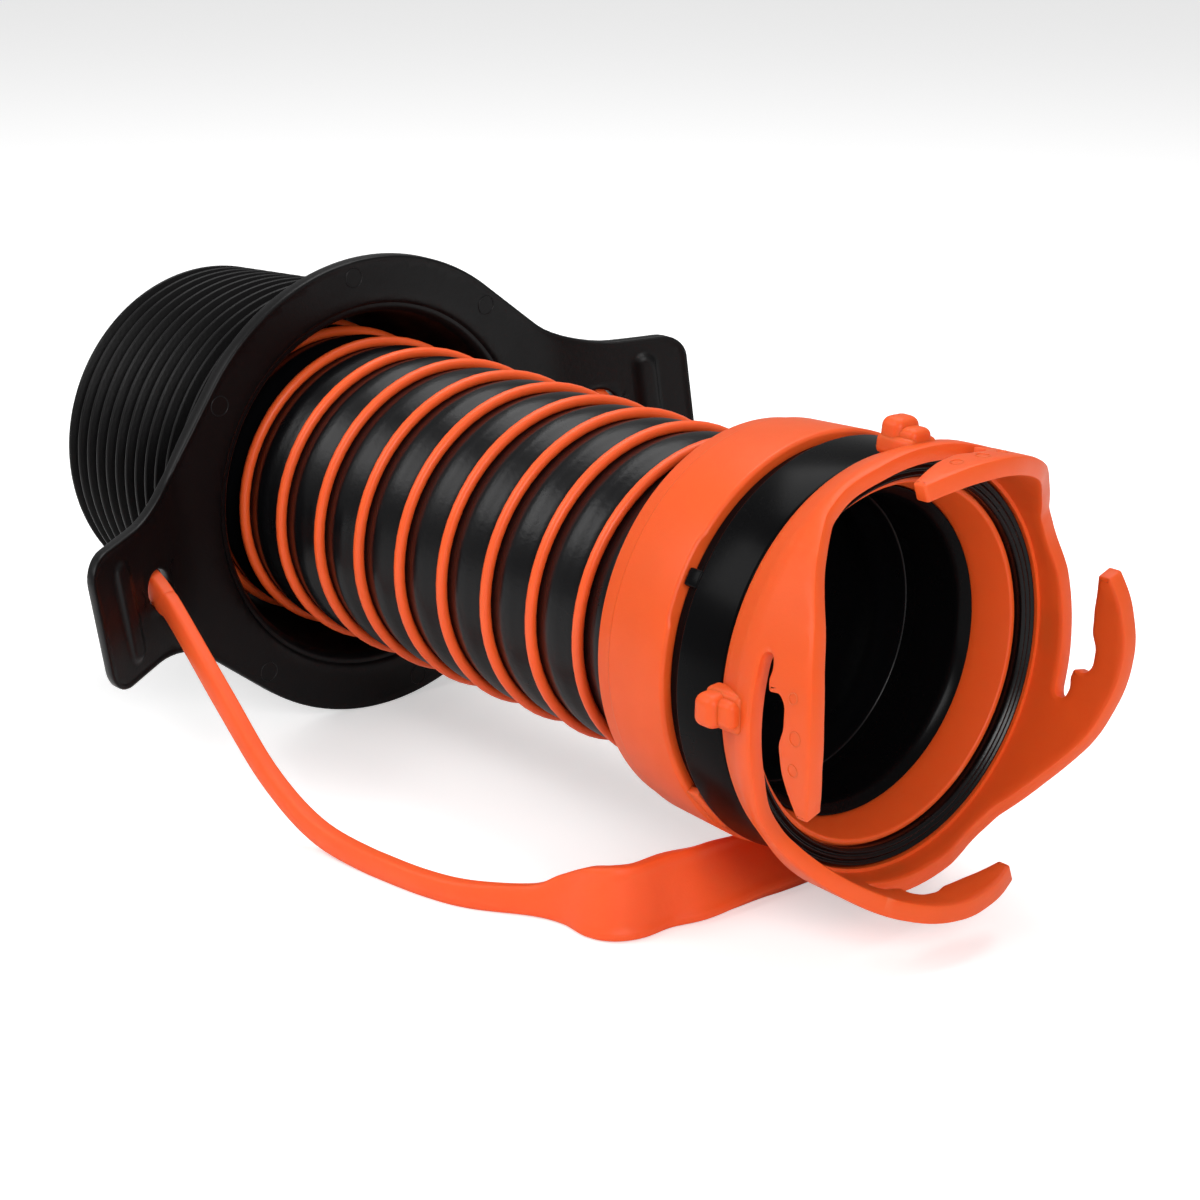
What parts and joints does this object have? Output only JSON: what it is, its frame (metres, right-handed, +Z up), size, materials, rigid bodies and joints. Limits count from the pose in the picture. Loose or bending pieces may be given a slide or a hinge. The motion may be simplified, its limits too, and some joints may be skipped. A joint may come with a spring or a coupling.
{
  "type": "sewer hose kit",
  "caption": "Short ribbed waste hose with a bayonet coupler and locking collar at one end and a finned rubber seal with a strap handle at the other",
  "frame": {"origin": "centre of the coupler's mouth, on the plane of the face gasket", "axes": "+X along the hose, out of the coupler's mouth; +Z up; +Y to the right seen from the mouth"},
  "size_m": [0.325, 0.2164, 0.136],
  "materials": {
    "seal_rubber": "satin",
    "strap_orange": "satin",
    "hose_black": "satin",
    "bead_orange": "satin",
    "wire_steel": "drawn",
    "gasket_rubber": "satin",
    "adapter_black": "gloss",
    "fitting_orange": "satin"
  },
  "bodies": {
    "hose": {"hose_wall": "hose_black", "hose_bead": "bead_orange", "hose_wire": "wire_steel", "adapter_body": "adapter_black", "hose_end_gasket": "gasket_rubber"},
    "collar": {"locking_collar": "fitting_orange"},
    "bayonet": {"bayonet_ring": "fitting_orange", "face_gasket": "gasket_rubber", "swivel_oring": "gasket_rubber", "snap_ring": "wire_steel"},
    "seal": {"seal_body": "seal_rubber"},
    "handle": {"strap_handle": "strap_orange"}
  },
  "joints": [
    {"name": "bayonet_swivel", "type": "hinge", "parent": "hose", "child": "bayonet", "pos_m": [0, 0, 0], "axis": [1, 0, 0], "continuous": true},
    {"name": "collar_turn", "type": "hinge", "parent": "hose", "child": "collar", "pos_m": [-0.038, 0, 0], "axis": [1, 0, 0], "range_deg": [-55, 0]},
    {"name": "seal_turn", "type": "hinge", "parent": "hose", "child": "seal", "pos_m": [-0.208, 0, 0], "axis": [1, 0, 0], "continuous": true},
    {"name": "handle_swing", "type": "hinge", "parent": "seal", "child": "handle", "pos_m": [-0.20257, -0.0003, 0.00188], "axis": [0, 0.9877, 0.1564], "range_deg": [0, 8]}
  ]
}
